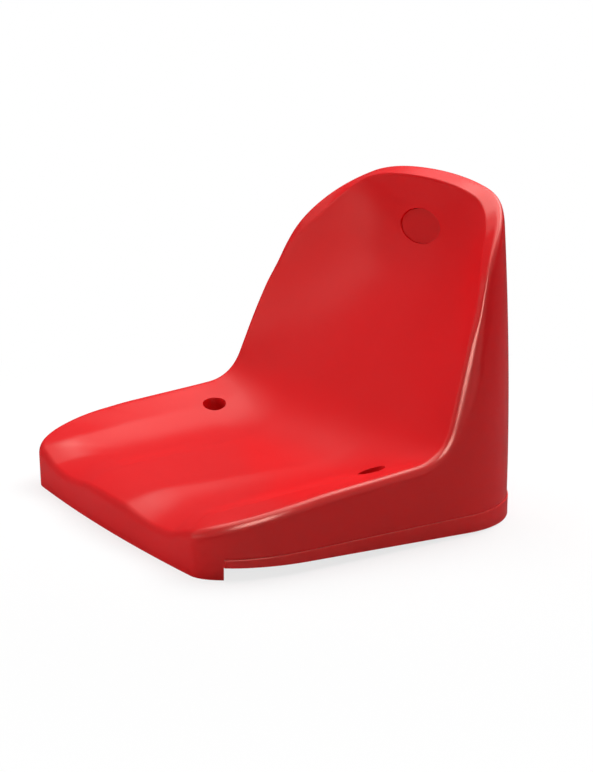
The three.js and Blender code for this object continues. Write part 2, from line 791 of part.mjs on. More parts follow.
function base_frame() {
  const top = parting_height - gap;
  const outside = outline_body([
    { inset: -base_ledge_width, height: 0 },
    { inset: -base_ledge_width, height: top - base_edge_break },
    { inset: base_edge_break - base_ledge_width, height: top },
  ]);
  const inner_inset = base_wall - base_ledge_width;
  const inside = outline_body([
    { inset: inner_inset, height: -overrun },
    { inset: inner_inset, height: top + overrun },
  ]);
  const lip_inset = wall + locating_gap;
  const lip_outside = outline_body([
    { inset: lip_inset, height: top - base_wall },
    { inset: lip_inset, height: top + upstand_height },
  ]);
  const lip_inside = outline_body([
    { inset: lip_inset + upstand_wall, height: -overrun },
    { inset: lip_inset + upstand_wall, height: top + overrun },
  ]);
  const room = outline_body([
    { inset: inner_inset - gap, height: -overrun },
    { inset: inner_inset - gap, height: top + overrun },
  ]);
  const far = half_depth + overrun;
  const wide = half_width + overrun;
  let body = outside.subtract(inside).add(lip_outside.subtract(lip_inside));
  let bars = box(
    new THREE.Vector3(-wide, notch_y + gap, 0),
    new THREE.Vector3(wide, notch_y + gap + bar_thickness, top),
  );
  bars = bars.add(box(
    new THREE.Vector3(-wide, fixing_place - bar_thickness / 2, 0),
    new THREE.Vector3(wide, fixing_place + bar_thickness / 2, post_seat - gap),
  ));
  for (const x of fixing_xs) {
    bars = bars.add(box(
      new THREE.Vector3(x - bar_thickness / 2, notch_y + gap, 0),
      new THREE.Vector3(x + bar_thickness / 2, far, post_seat - gap),
    ));
  }
  for (const [x, y] of screw_places()) {
    bars = bars.add(bar(x, y, tab_radius, post_seat - gap - tab_thickness, post_seat - gap, screw_sides));
  }
  body = body.add(bars.intersect(room));
  const behind_notch = box(
    new THREE.Vector3(-wide, notch_y + gap, -overrun),
    new THREE.Vector3(wide, far, back_height),
  );
  body = body.intersect(behind_notch).subtract(base_underside());
  for (const x of fixing_xs) {
    body = body.add(bar(x, fixing_place, foot_diameter / 2, 0, sleeve_foot_height - gap));
  }
  for (const x of fixing_xs) {
    body = body.subtract(bar(x, fixing_place, bush_outer / 2 + gap, -overrun, back_height));
  }
  for (const [x, y] of screw_places()) {
    body = body.subtract(bar(x, y, post_radius + gap, post_seat - gap, back_height, screw_sides));
    body = body.subtract(bar(x, y, screw_diameter / 2 + gap, -overrun, back_height, screw_sides));
  }
  return body;
}

// A turned piece from its outline of radius and height pairs
function turned(outline, steps) {
  return new THREE.LatheGeometry(outline.map(([radius, height]) => new THREE.Vector2(radius, height)), steps);
}

function fixing_bush_geometry() {
  const bore = bush_bore / 2;
  const collar_bottom = sleeve_foot_height + sleeve_floor + gap;
  const collar_top = collar_bottom + bush_collar_thickness;
  const geometry = turned([
    [bore, bush_recess],
    [bush_outer / 2, bush_recess],
    [bush_outer / 2, collar_bottom],
    [bush_collar_diameter / 2, collar_bottom],
    [bush_collar_diameter / 2, collar_top],
    [bore, collar_top],
    [bore, bush_recess],
  ], round_sides);
  return geometry_of(solid(geometry.rotateX(QUARTER)));
}

function screw_geometry() {
  const head = screw_head_diameter / 2;
  const shank = screw_diameter / 2;
  const dome = screw_head_height / 2;
  let body = solid(turned([
    [0, -screw_head_height],
    [head - dome, -screw_head_height],
    [head, -screw_head_height + dome],
    [head, 0],
    [shank, 0],
    [shank, screw_length - shank],
    [0, screw_length],
  ], screw_sides).rotateX(QUARTER));
  for (const quarter of [0, 1]) {
    const slot = new THREE.BoxGeometry(head, screw_slot_width, screw_slot_depth * 2);
    slot.rotateZ(quarter * QUARTER);
    body = body.subtract(solid(slot.translate(0, 0, -screw_head_height)));
  }
  return geometry_of(body);
}

function number_plate() {
  const from = gap - plate_recess_depth;
  const to = from + plate_thickness;
  let body = plate_oval(0, from, to - plate_edge_break).add(plate_oval(-plate_edge_break, from, to));
  for (const peg of plate_pegs(peg_diameter / 2, from - peg_length, from + plate_edge_break)) {
    body = body.add(peg);
  }
  return body;
}

const shell_plastic = { color: 0xd81f26, roughness: 0.28, metalness: 0 };
const base_plastic = { color: 0xc21c22, roughness: 0.34, metalness: 0 };
const plate_plastic = { color: 0xb81a22, roughness: 0.3, metalness: 0 };
const zinc_steel = { color: 0xb8bcc0, roughness: 0.35, metalness: 1 };

// The origin lies under the middle of the whole depth, from the lip to the top of the backrest
const seat = new THREE.Group();
seat.name = 'stadium_seat';
seat.position.y = -(front_edge + rear_edge) / 2;

function place(name, geometry, finish, x = 0, y = 0, z = 0) {
  const mesh = new THREE.Mesh(geometry, new THREE.MeshStandardMaterial(finish));
  mesh.name = name;
  mesh.position.set(x, y, z);
  seat.add(mesh);
}

place('seat_shell', geometry_of(seat_shell()), shell_plastic);
place('base_frame', geometry_of(base_frame()), base_plastic);
place('number_plate', geometry_of(number_plate()), plate_plastic);
fixing_xs.forEach((x) => {
  place(x < 0 ? 'fixing_bush_left' : 'fixing_bush_right', fixing_bush_geometry(), zinc_steel, x, fixing_place);
});
screw_places().forEach(([x, y], index) => {
  const seat_height = post_seat - 2 * gap - tab_thickness;
  place(`base_screw_${index + 1}`, screw_geometry(), zinc_steel, x, y, seat_height);
});

export default seat;
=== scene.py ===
"""A fixed stadium bucket seat in glossy red plastic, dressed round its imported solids."""
import math

import bpy
import numpy as np
from mathutils import Matrix, Vector

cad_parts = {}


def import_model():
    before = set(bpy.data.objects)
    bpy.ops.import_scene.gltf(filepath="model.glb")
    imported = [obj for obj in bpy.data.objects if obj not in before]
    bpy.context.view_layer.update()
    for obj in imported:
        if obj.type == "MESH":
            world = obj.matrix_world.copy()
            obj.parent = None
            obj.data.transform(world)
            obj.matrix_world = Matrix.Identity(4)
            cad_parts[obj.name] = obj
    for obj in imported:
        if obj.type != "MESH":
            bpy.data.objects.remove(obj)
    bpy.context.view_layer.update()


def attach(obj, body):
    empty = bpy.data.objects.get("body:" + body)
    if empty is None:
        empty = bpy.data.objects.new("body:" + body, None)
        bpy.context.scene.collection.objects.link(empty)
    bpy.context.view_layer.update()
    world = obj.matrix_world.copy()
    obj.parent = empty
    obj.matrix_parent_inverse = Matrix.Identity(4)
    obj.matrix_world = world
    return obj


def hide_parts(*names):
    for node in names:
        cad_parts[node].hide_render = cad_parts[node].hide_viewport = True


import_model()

# Sizes in millimetres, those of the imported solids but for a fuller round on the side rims
MM = 0.001
seat_width = 430
seat_depth = 405
front_bow = 10.3
front_corner_width = 50.6
front_corner_length = 102.5
rear_corner_radius = 105.4

# Leaning walls
back_height = 345.5
side_draw_in = 45.2
side_draw_power = 2.07
front_lean_out = 9.7
rear_lean_out = 6.2

# Rim line, as lengths round the plan and heights
lip_height = 29.5
lip_wave = 3
lip_corner_place = 135
lip_wave_start = 96
lip_wave_end = 230
corner_rim_height = 64.8
corner_rim_setback = 35
bend_before_wing = 24.5
bend_rim_height = 79.5
bend_setback = 34.5
wing_run_back = 41.6
wing_straight_height = 252
arch_side_pull = 83
arch_top_pull = 84.5

# Rim section
pan_land = 7
wing_land = 10
arch_land = 20.5
arch_rim_lead = 62
arch_sink_lead = 22
arch_sink_run = 67
arch_side_sink = 18
arch_top_sink = 10.5
pan_crease = 3.2
arch_crease = 1.6
pan_round = 5
wing_round = 14
arch_round = 16
crease_reach_share = 0.42
wing_land_round_share = 0.95
arch_land_round_share = 0.45
land_turn_share = 0.5
rim_probe_share = 0.05

# Middle line of the sitting surface, seen from the side
knee_height = 49
knee_back = 36
knee_setback = 22
seat_back_place = 58
seat_back_height = 52
seat_bend_setback = 66
shoulder_height = 262
shoulder_setback = 48
shoulder_depth = 8.5

# Sitting surface across its middle line
crease_height_share = 0.55
bolster_start_power = 2
wing_dish_power = 2.6
rim_fit_power = 9
line_spare = 15
centre_place = 262
trough_depth = 6.5
trough_edge_power = 1.3
trough_inner_front = 38
trough_inner_rear = 70
trough_outer = 160
trough_fade_start = 60
trough_fade_end = 300
trough_crease_round = 5

# Walls, ribs and posts under the sitting skin
wall = 3.5
rib_thickness = 2.6
rib_clearance = 10
rib_spacing = 110
rib_depth = 14
ribs_behind_middle = 1
arch_core_margin = 16
post_radius = 7
post_depth = 14
post_wall_gap = 2
bottom_edge_break = 0.9

# Fixing holes with their sleeves and feet
fixing_side_distance = 57
fixing_place = 18
fixing_hole_diameter = 27
sleeve_wall = 3
sleeve_foot_height = 20
sleeve_floor = 5
foot_diameter = 42

# Fixing bushes
bush_bore = 10.5
bush_outer = 14
bush_collar_diameter = 22
bush_collar_thickness = 2
bush_recess = 0.6
bush_edge_break = 0.4

# Base frame
parting_height = 20.7
notch_place = 27
base_front_lift = 12.6
base_flat_length = 24
base_ledge_width = 1.2
base_wall = 4
base_edge_break = 0.8
upstand_height = 8
upstand_wall = 2.5
bar_thickness = 4
tab_radius = 10
tab_thickness = 4
screw_corner_clearance = 6
screw_rear_offset = 82

# Screws
screw_diameter = 4.8
screw_length = 16
screw_head_diameter = 9.5
screw_head_height = 3
screw_slot_width = 1.2
screw_slot_depth = 1.2

# Number plate
plate_width = 72
plate_height = 38
plate_thickness = 1.8
plate_below_top = 65
plate_recess_depth = 3
plate_edge_break = 0.5
plate_pad_margin = 5
peg_diameter = 5
peg_length = 3
peg_spacing = 48

# Clearances, and how far cutting bodies run past what they cut
gap = 0.3
locating_gap = 0.5
overrun = 60

# Steps of the fine meshes
rim_steps = {"front": 22, "corner": 20, "side": 28, "run": 12, "bend": 28, "wing": 32, "arch": 64}
hollow_rim_steps = {"front": 8, "corner": 6, "side": 8, "run": 4, "bend": 10, "wing": 8, "arch": 24}
surface_rings = 84
hollow_rings = 20
ring_crowding_power = 1.35
round_steps = 8
edge_steps = 4
wall_rings = 40
round_sides = 64
line_steps = 240
crease_samples = (-0.75, -0.25, 0.25, 0.75)
bezier_steps = 400
section_passes = 4

# Places that follow from the sizes
half_width = seat_width / 2
half_depth = seat_depth / 2
past_side = half_width + overrun
past_end = half_depth + overrun
front_edge = -half_depth - front_lean_out * lip_height / back_height
rear_edge = half_depth + rear_lean_out
seat_shift = -(front_edge + rear_edge) / 2
wing_middle_height = (bend_rim_height + wing_straight_height) / 2
arch_rim_start = wing_straight_height - arch_rim_lead
arch_sink_start = wing_straight_height - arch_sink_lead
arch_sink_full = arch_sink_start + arch_sink_run
notch_y = -half_depth + notch_place
post_seat = parting_height - tab_thickness
base_top = parting_height - gap
base_front = notch_y + gap
base_inset = base_wall - base_ledge_width
bar_top = post_seat - gap
fixing_x = half_width - fixing_side_distance
fixing_xs = (-fixing_x, fixing_x)


# Small vector helpers on arrays
no_length = 1e-12


def unit(vectors):
    length = np.linalg.norm(vectors, axis=-1, keepdims=True)
    return vectors / np.maximum(length, no_length)


def dot(a, b):
    return (a * b).sum(-1)


def mix(a, b, share):
    return a + (b - a) * share


def rise(value, start, end):
    share = np.clip((value - start) / (end - start), 0, 1)
    return share * share * (3 - 2 * share)


def towards(start, end, distance):
    way = end - start
    return start + way * (distance / np.linalg.norm(way))


# Curves through their control points, sampled without the first point
def shares(steps):
    return np.linspace(0, 1, steps + 1)[1:, None]


def bend_at(start, corner, end, share):
    return (1 - share) ** 2 * start + 2 * share * (1 - share) * corner + share ** 2 * end


def straight(start, end, steps):
    return mix(start, end, shares(steps))


def bend(start, corner, end, steps):
    return bend_at(start, corner, end, shares(steps))


def double_bend(start, first, second, end, steps):
    share = shares(steps)
    left = 1 - share
    near = left ** 3 * start + 3 * share * left ** 2 * first
    return near + 3 * share ** 2 * left * second + share ** 3 * end


# Plan outline, measured from the middle of the front edge
quarter = math.pi / 2
front_straight = half_width - front_corner_width
rear_straight = half_width - rear_corner_radius
corner_start = -half_depth + front_bow * (front_straight / half_width) ** 2
side_start = corner_start + front_corner_length
side_end = half_depth - rear_corner_radius
corner_length = (front_corner_width + front_corner_length) / 2 * quarter
length_to_side = front_straight + corner_length
length_to_rear_corner = length_to_side + side_end - side_start
length_to_rear = length_to_rear_corner + rear_corner_radius * quarter
length_to_middle = length_to_rear + rear_straight


def plan(length):
    """Place and outward direction on the plan outline at lengths from the middle of the front edge."""
    length = np.asarray(length, float)
    still = 0 * length
    front_turn = quarter * (length - front_straight) / corner_length
    rear_turn = (length - length_to_rear_corner) / rear_corner_radius
    stretch = [length <= front_straight, length <= length_to_side, length <= length_to_rear_corner,
               length <= length_to_rear]
    x = np.select(stretch, [
        length,
        front_straight + front_corner_width * np.sin(front_turn),
        still + half_width,
        rear_straight + rear_corner_radius * np.cos(rear_turn),
    ], length_to_middle - length)
    y = np.select(stretch, [
        -half_depth + front_bow * (length / half_width) ** 2,
        side_start - front_corner_length * np.cos(front_turn),
        side_start + length - length_to_side,
        side_end + rear_corner_radius * np.sin(rear_turn),
    ], still + half_depth)
    across = np.select(stretch, [
        2 * front_bow * length / half_width ** 2,
        front_corner_length * np.sin(front_turn),
        still + 1,
        np.cos(rear_turn),
    ], still)
    along = np.select(stretch, [
        still - 1,
        -front_corner_width * np.cos(front_turn),
        still,
        np.sin(rear_turn),
    ], still + 1)
    return x, y, unit(np.stack([across, along], -1))


def wall_point(length, height, inset=0.0):
    """A point of the outer wall at a length round the plan and a height, moved in by an inset."""
    x, y, normal = plan(length)
    height = np.asarray(height, float) + 0 * x
    share = height / back_height
    draw_in = side_draw_in * np.maximum(0, share) ** side_draw_power * x * np.abs(x) / half_width ** 2
    lean = np.where(normal[..., 1] < 0, front_lean_out, rear_lean_out)
    return np.stack([
        x - draw_in - normal[..., 0] * inset,
        y + normal[..., 1] * (lean * share - inset),
        height,
    ], -1)


def rim_line(steps):
    """The rim as lengths round the plan and heights, from the front middle to the rear middle."""
    front = np.array([lip_corner_place, lip_height], float)
    corner = np.array([length_to_side, corner_rim_height], float)
    turn = np.array([length_to_rear_corner - bend_before_wing, bend_rim_height], float)
    wing = np.array([length_to_rear_corner + wing_run_back, wing_straight_height], float)
    top = np.array([length_to_middle, back_height], float)
    corner_in = towards(corner, front, corner_rim_setback)
    corner_out = towards(corner, turn, corner_rim_setback)
    turn_in = towards(turn, corner, bend_setback)
    turn_out = towards(turn, wing, bend_setback)
    top_pull = np.array([length_to_middle - arch_top_pull, back_height], float)
    start = np.array([0, lip_height], float)
    points = np.vstack([
        start[None],
        straight(start, front, steps["front"]),
        straight(front, corner_in, steps["corner"]),
        bend(corner_in, corner, corner_out, steps["side"]),
        straight(corner_out, turn_in, steps["run"]),
        bend(turn_in, turn, turn_out, steps["bend"]),
        straight(turn_out, wing, steps["wing"]),
        double_bend(wing, towards(wing, turn, -arch_side_pull), top_pull, top, steps["arch"]),
    ])
    fade = 1 - rise(points[:, 0], lip_wave_start, lip_wave_end)
    points[:, 1] += lip_wave * fade * (1 - 2 * trough_shape(trough_place(points[:, 0], trough_inner_front)))
    return points


def middle_line():
    """Middle line of the sitting surface in the side view, as evenly spaced points with their ways."""
    lip_rise = pan_land * math.sqrt(1 / 2)
    lip = np.array([front_edge + lip_rise, lip_height + lip_wave + lip_rise])
    knee = np.array([front_edge + knee_back, knee_height])
    seat_back = np.array([seat_back_place, seat_back_height], float)
    shoulder = np.array([rear_edge - arch_land + shoulder_depth, shoulder_height], float)
    top = np.array([rear_edge - arch_land, back_height], float)
    knee_in = towards(knee, lip, knee_setback)
    knee_out = towards(knee, seat_back, knee_setback)
    seat_in = towards(seat_back, knee, seat_bend_setback)
    seat_out = towards(seat_back, shoulder, seat_bend_setback)
    shoulder_in = towards(shoulder, seat_back, shoulder_setback)
    shoulder_out = towards(shoulder, top, shoulder_setback)
    start = towards(lip, knee, -line_spare)
    path = np.vstack([
        start[None],
        straight(start, knee_in, bezier_steps),
        bend(knee_in, knee, knee_out, bezier_steps),
        straight(knee_out, seat_in, bezier_steps),
        bend(seat_in, seat_back, seat_out, bezier_steps),
        straight(seat_out, shoulder_in, bezier_steps),
        bend(shoulder_in, shoulder, shoulder_out, bezier_steps),
        straight(shoulder_out, towards(top, shoulder, -line_spare), bezier_steps),
    ])
    run = np.r_[0, np.cumsum(np.linalg.norm(np.diff(path, axis=0), axis=1))]
    even = np.linspace(0, run[-1], line_steps + 1)
    points = np.stack([np.interp(even, run, path[:, 0]), np.interp(even, run, path[:, 1])], 1)
    index = np.arange(line_steps + 1)
    ways = unit(points[np.minimum(line_steps, index + 1)] - points[np.maximum(0, index - 1)])
    # The front roll keeps the upward direction of the pan behind it
    ways[points[:, 0] < knee_out[0]] = unit(seat_back - knee)
    return points, ways, run[-1]


middle_points, middle_ways, middle_length = middle_line()
line_step = middle_length / line_steps


def middle_at(distance):
    """Points and upward directions of the middle line at distances along it."""
    place = np.clip(np.asarray(distance, float) / line_step, 0, line_steps)
    index = np.minimum(line_steps - 1, np.floor(place).astype(int))
    share = (place - index)[..., None]
    point = mix(middle_points[index], middle_points[index + 1], share)
    way = unit(mix(middle_ways[index], middle_ways[index + 1], share))
    return point, np.stack([-way[..., 1], way[..., 0]], -1)


def facing_up(directions, distance):
    """Directions turned round where they point below the middle line at distances along it."""
    middle_up = middle_at(distance)[1]
    return directions * np.where(dot(directions[:, 1:], middle_up) < 0, -1, 1)[:, None]


def trough_place(x, inner):
    """How far a point lies across a thigh trough, nought at its inner edge and one at its outer edge."""
    return np.clip((np.abs(x) - inner) / (trough_outer - inner), 0, 1)


def trough_shape(place):
    return (4 * place * (1 - place)) ** trough_edge_power


def pan_section(distance, x, reach):
    """Shares of the side lift and of the trough depth across the pan."""
    inner = mix(trough_inner_front, trough_inner_rear, np.clip(distance / trough_fade_end, 0, 1))
    place = trough_place(x, inner)
    bolster = np.clip((np.abs(x) - trough_outer) / np.maximum(gap, reach - trough_outer), 0, 1)
    lift = mix(crease_height_share * place ** bolster_start_power, 1, bolster)
    return lift, trough_shape(place) * (1 - rise(distance, trough_fade_start, trough_fade_end))


def rounded_section(distance, x, reach):
    """The pan section with its creases rounded, as the mean of samples on both sides."""
    samples = [pan_section(distance, x + trough_crease_round * offset, reach) for offset in crease_samples]
    return sum(lift for lift, _ in samples) / len(samples), sum(dip for _, dip in samples) / len(samples)


def surface_edge(points):
    """Edges of the sitting surface under points of the rim."""
    flat = points[..., 1:]
    ahead = dot(flat[..., None, :] - middle_points, middle_ways)
    last = np.maximum(0, (ahead < 0).argmax(-1) - 1)
    before = np.take_along_axis(ahead, last[..., None], -1)[..., 0]
    after = np.take_along_axis(ahead, last[..., None] + 1, -1)[..., 0]
    distance = (last + before / (before - after)) * line_step
    place, up = middle_at(distance)
    return {"x": points[..., 0], "distance": distance, "height": dot(up, flat - place)}


def dish(distance, x, edges):
    """Height of the sitting surface above the middle line, dished out to the side edges."""
    reach = np.interp(distance, edges["distance"], edges["x"])
    lift = np.interp(distance, edges["distance"], edges["height"])
    across = np.where(reach > 0, np.minimum(1, np.abs(x) / np.where(reach > 0, reach, 1)), 1)
    pan_lift, dip = rounded_section(distance, x, reach)
    wing_share = rise(distance, centre_place - seat_bend_setback, centre_place + seat_bend_setback)
    return lift * mix(pan_lift, across ** wing_dish_power, wing_share) - trough_depth * dip


def surface_point(edge, share, edges):
    """Sitting surface under rim samples, at a share of the way from the middle of the seat to the rim."""
    distance = mix(centre_place, edge["distance"], share)
    x = edge["x"] * share
    left_over = edge["height"] - dish(edge["distance"], edge["x"], edges)
    height = dish(distance, x, edges) + left_over * share ** rim_fit_power
    point, up = middle_at(distance)
    return np.stack([x, point[..., 0] + up[..., 0] * height, point[..., 1] + up[..., 1] * height], -1)


class Rim:
    """The rim's samples, with the directions and widths that its section needs at each of them."""

    def __init__(self, steps):
        line = rim_line(steps)
        self.length, self.height = line[:, 0], line[:, 1]
        self.beside = self.length >= length_to_side
        self.corner = wall_point(self.length, self.height)
        self.side = np.column_stack([plan(self.length)[2], 0 * self.length])
        self.set_directions(line)
        self.set_widths()
        self.foot_length, self.foot_height = self.below(self.outer_round)
        self.foot = wall_point(self.foot_length, self.foot_height)
        self.down = self.across_only(self.foot - self.corner)
        self.set_arch_inner()
        self.edge = surface_edge(self.corner - self.side * self.land)
        for _ in range(section_passes):
            self.meet_surface()
        self.edges = self.side_edges()

    def set_directions(self, line):
        """Directions along the rim, in space and on the flat pattern of the wall, level at the middle."""
        index = np.arange(len(line))
        before = np.maximum(0, index - 1)
        after = np.minimum(len(line) - 1, index + 1)
        first = self.corner[before]
        last = self.corner[after]
        first[0, 0] = -last[0, 0]
        last[-1, 0] = -first[-1, 0]
        self.along = unit(last - first)
        flat_way = line[after] - line[before]
        flat_way[[0, -1], 1] = 0
        self.flat_way = unit(flat_way)

    def set_widths(self):
        """Widths of crease, land and outer round, which change from the pan over the wing to the arch."""
        wing_share = rise(self.height, bend_rim_height, wing_middle_height)
        round_share = rise(self.height, wing_middle_height, shoulder_height)
        arch_share = rise(self.height, wing_straight_height, back_height)
        self.land = mix(pan_land, wing_land, wing_share)[:, None]
        self.crease = mix(pan_crease, arch_crease, arch_share)[:, None]
        self.outer_round = mix(mix(pan_round, wing_round, wing_share), arch_round, round_share)
        self.round_share = mix(wing_land_round_share, arch_land_round_share, round_share)[:, None]

    def set_arch_inner(self):
        """The inner line of the broad band round the arch, and its share against the plain land."""
        sink_share = rise(self.height, arch_sink_start, arch_sink_full)
        top_share = rise(self.height, arch_sink_full, back_height)
        sink = mix(arch_side_sink * sink_share, arch_top_sink, top_share)
        self.arch_inner = wall_point(*self.below(sink), mix(wing_land, arch_land, sink_share))
        self.arch_rim_share = rise(self.height, arch_rim_start, arch_sink_start)[:, None]

    def below(self, drop):
        """Lengths and heights at a distance below the rim, square to it on the flat pattern of the wall."""
        return self.length + self.flat_way[:, 1] * drop, self.height - self.flat_way[:, 0] * drop

    def across_only(self, vectors):
        """Directions with their share along the rim taken out."""
        return unit(vectors - self.along * dot(vectors, self.along)[:, None])

    def side_edges(self):
        """The surface edge beside the seat, led on to the start of the middle line."""
        edges = {name: values[self.beside] for name, values in self.edge.items()}
        edges["distance"] = np.r_[0, edges["distance"]]
        edges["height"] = np.r_[0, edges["height"]]
        edges["x"] = np.r_[edges["x"][0], edges["x"]]
        return edges

    def meet_surface(self):
        """Moves the surface edge to where land and sitting surface meet."""
        edges = self.side_edges()
        reach = surface_point(self.edge, 1.0, edges) - surface_point(self.edge, 1 - rim_probe_share, edges)
        self.out = self.across_only(reach)
        up = facing_up(unit(np.cross(self.out, self.along)), self.edge["distance"])
        turn = np.arctan2(-dot(self.down, up), dot(self.down, self.out))
        turn = np.where(turn < 0, turn + 2 * math.pi, turn)
        land_turn = (turn * land_turn_share)[:, None]
        land_way = self.out * np.cos(land_turn) - up * np.sin(land_turn)
        inner = mix(self.corner - land_way * self.land, self.arch_inner, self.arch_rim_share)
        self.edge = surface_edge(inner - self.out * self.crease)

    def surface(self, share):
        return surface_point(self.edge, share, self.edges)

    def round_rows(self):
        """Rows across the rim, from the edge of the sitting surface over the land to the outer wall."""
        start = self.surface(1.0)
        ridge = start + self.out * self.crease
        length = np.linalg.norm(self.corner - ridge, axis=1)[:, None]
        way = (self.corner - ridge) / length
        crease = np.minimum(self.crease, length * crease_reach_share)
        land_start = ridge + way * crease
        land_end = self.corner - way * (length - crease) * self.round_share
        rows = curve_rows(start, ridge, land_start)
        rows += [mix(land_start, land_end, step / edge_steps) for step in range(1, edge_steps + 1)]
        return rows + curve_rows(land_end, self.corner, self.foot)


def curve_rows(start, corner, end):
    return [bend_at(start, corner, end, step / round_steps) for step in range(1, round_steps + 1)]


rim = Rim(rim_steps)
hollow_rim = Rim(hollow_rim_steps)


# Meshes from points in millimetres
def mesh_object(name, points, faces):
    points = (np.asarray(points, float) + [0, seat_shift, 0]) * MM
    mesh = bpy.data.meshes.new(name)
    mesh.from_pydata(points.tolist(), [], faces)
    mesh.validate()
    piece = bpy.data.objects.new(name, mesh)
    bpy.context.scene.collection.objects.link(piece)
    if signed_volume(mesh) < 0:
        mesh.flip_normals()
    return piece


def signed_volume(mesh):
    mesh.calc_loop_triangles()
    points = np.zeros(len(mesh.vertices) * 3)
    mesh.vertices.foreach_get("co", points)
    points = points.reshape(-1, 3)
    corners = np.zeros(len(mesh.loop_triangles) * 3, int)
    mesh.loop_triangles.foreach_get("vertices", corners)
    a, b, c = (points[corners.reshape(-1, 3)[:, index]] for index in range(3))
    return dot(a, np.cross(b, c)).sum() / 6


def full_loop(half):
    """One half's points mirrored to a closed loop."""
    left = half[1:-1][::-1] * [-1, 1, 1]
    return np.vstack([half, left])


def skin_faces(first, count, row_count):
    """Faces of a body whose start point, loops and end point follow each other from a first index on."""
    loops = first + 1
    last = loops + row_count * count
    faces = []
    for column in range(count):
        beside = (column + 1) % count
        faces.append((first, loops + column, loops + beside))
        for here in range(loops, last - count, count):
            there = here + count
            faces.append((here + column, there + column, there + beside, here + beside))
        faces.append((last, last - count + beside, last - count + column))
    return faces


def prism_faces(count):
    """Faces of a body between two outlines of equal count that follow each other."""
    faces = [tuple(range(count)), tuple(range(2 * count - 1, count - 1, -1))]
    for index in range(count):
        beside = (index + 1) % count
        faces.append((index, index + count, beside + count, beside))
    return faces


def closed_rows(name, start, rows, end):
    """A closed body from a start point, loops of equal count and an end point."""
    points = np.vstack([[start], *rows, [end]])
    return mesh_object(name, points, skin_faces(0, len(rows[0]), len(rows)))


def box(name, low, high):
    corners = [(x, y, z) for x in (low[0], high[0]) for y in (low[1], high[1]) for z in (low[2], high[2])]
    faces = [(0, 1, 3, 2), (4, 6, 7, 5), (0, 4, 5, 1), (2, 3, 7, 6), (0, 2, 6, 4), (1, 5, 7, 3)]
    return mesh_object(name, corners, faces)


def turned(name, outline, places):
    """Turned bodies from one outline of radius and height pairs, which runs from axis to axis."""
    angles = np.linspace(0, 2 * math.pi, round_sides, endpoint=False)
    points, faces = [], []
    for x, y in places:
        faces += skin_faces(len(points), round_sides, len(outline) - 2)
        points.append((x, y, outline[0][1]))
        for radius, height in outline[1:-1]:
            points += [(x + radius * math.cos(a), y + radius * math.sin(a), height) for a in angles]
        points.append((x, y, outline[-1][1]))
    return mesh_object(name, points, faces)


def bars(name, places, radius, bottom, top):
    return turned(name, [(0, bottom), (radius, bottom), (radius, top), (0, top)], places)


def apply_modifiers(piece):
    graph = bpy.context.evaluated_depsgraph_get()
    made = bpy.data.meshes.new_from_object(piece.evaluated_get(graph))
    piece.modifiers.clear()
    piece.data = made


def combine(piece, tool, operation):
    """Cuts a tool from a piece, adds it or keeps what they share, and drops the tool."""
    modifier = piece.modifiers.new("join", "BOOLEAN")
    modifier.solver = "MANIFOLD"
    modifier.operation = operation
    modifier.object = tool
    apply_modifiers(piece)
    bpy.data.objects.remove(tool)
    return piece


def cut(piece, tool):
    return combine(piece, tool, "DIFFERENCE")


def cut_copy(piece, tool):
    """Cuts a copy of the tool from the piece, and keeps the tool."""
    copy = tool.copy()
    bpy.context.scene.collection.objects.link(copy)
    return cut(piece, copy)


def add(piece, tool):
    return combine(piece, tool, "UNION")


def keep(piece, tool):
    return combine(piece, tool, "INTERSECT")


def outline_body(name, samples, rows):
    """The wall outline as an upright body, with an inset and a height for each row."""
    loops = [full_loop(wall_point(samples.foot_length, height, inset)) for inset, height in rows]
    return closed_rows(name, (0, 0, rows[0][1]), loops, (0, 0, rows[-1][1]))


def wall_room(name, inset, low, high):
    """The room within the wall outline, drawn in by an inset, between two heights."""
    return outline_body(name, rim, [(inset, low), (inset, high)])


def quarter_round(inset, height, radius, turn):
    """Rows of a rounded edge, from the upright face to the flat one. turn is 1 for a top edge."""
    rows = []
    for step in range(edge_steps + 1):
        angle = quarter * step / edge_steps
        inward = radius * (1 - math.cos(angle))
        back = radius * (1 - math.sin(angle))
        rows.append((inset + inward, height - turn * back))
    return rows


# The seat shell
def ring_shares(count):
    """Shares of the way from the middle of the seat to the rim, closer together near the rim."""
    return [1 - (1 - ring / count) ** ring_crowding_power for ring in range(1, count + 1)]


def outer_body():
    rows = [full_loop(rim.surface(share)) for share in ring_shares(surface_rings)]
    rows += [full_loop(row) for row in rim.round_rows()]
    for ring in range(1, wall_rings):
        height = mix(rim.foot_height, bottom_edge_break, ring / wall_rings)
        rows.append(full_loop(wall_point(rim.foot_length, height)))
    for inset, height in quarter_round(0, 0, bottom_edge_break, -1):
        rows.append(full_loop(wall_point(rim.foot_length, height, inset)))
    start, _ = middle_at(centre_place)
    return closed_rows("seat_shell_skin", (0, *start), rows, (0, 0, 0))


def space_above():
    """Everything above the underside of the sitting skin, closed far above the seat."""
    samples = hollow_rim
    rows = []
    for share in ring_shares(hollow_rings):
        point = samples.surface(share)
        around = np.vstack([point[1:], point[-1:]]) - np.vstack([point[:1], point[:-1]])
        around[[0, -1]] = [1, 0, 0]
        outward = point - samples.surface(share - 1 / line_steps)
        distance = mix(centre_place, samples.edge["distance"], share)
        up = facing_up(unit(np.cross(outward, around)), distance)
        rows.append(full_loop(point - up * wall))
    for shift in (-wall / 2, overrun):
        rows.append(full_loop(samples.foot + samples.side * shift))
    start, up = middle_at(centre_place)
    first = start - up * wall
    apex = (0, -seat_depth, back_height + seat_depth)
    return closed_rows("space_above", (0, *first), rows, apex)


